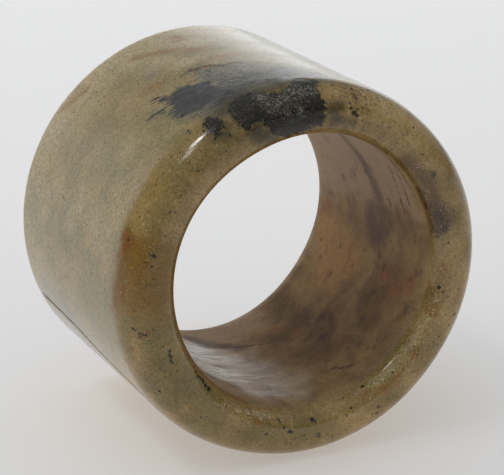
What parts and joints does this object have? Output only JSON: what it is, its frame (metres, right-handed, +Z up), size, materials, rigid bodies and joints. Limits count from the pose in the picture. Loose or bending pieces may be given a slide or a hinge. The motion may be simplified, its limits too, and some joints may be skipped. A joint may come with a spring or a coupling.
{
  "type": "archery thumb ring",
  "caption": "Cylindrical archer's thumb ring in mottled olive jade with a black inclusion, lying on its side, with a wide bore and rounded ends.",
  "frame": {"origin": "bottom centre of the bounding box, in the plane of the flat spot underneath", "axes": "+Y along the bore towards the back end with the wide bore mouth, -Y towards the front end with the rounder shoulder, +Z up"},
  "size_m": [0.032, 0.024, 0.0318],
  "materials": {
    "jade": "satin polish on mottled olive, tan and grey-green jade, slightly translucent, with brown staining, fine dark specks and one black granular patch"
  },
  "bodies": {
    "root": {"thumb_ring": "jade"}
  },
  "joints": []
}
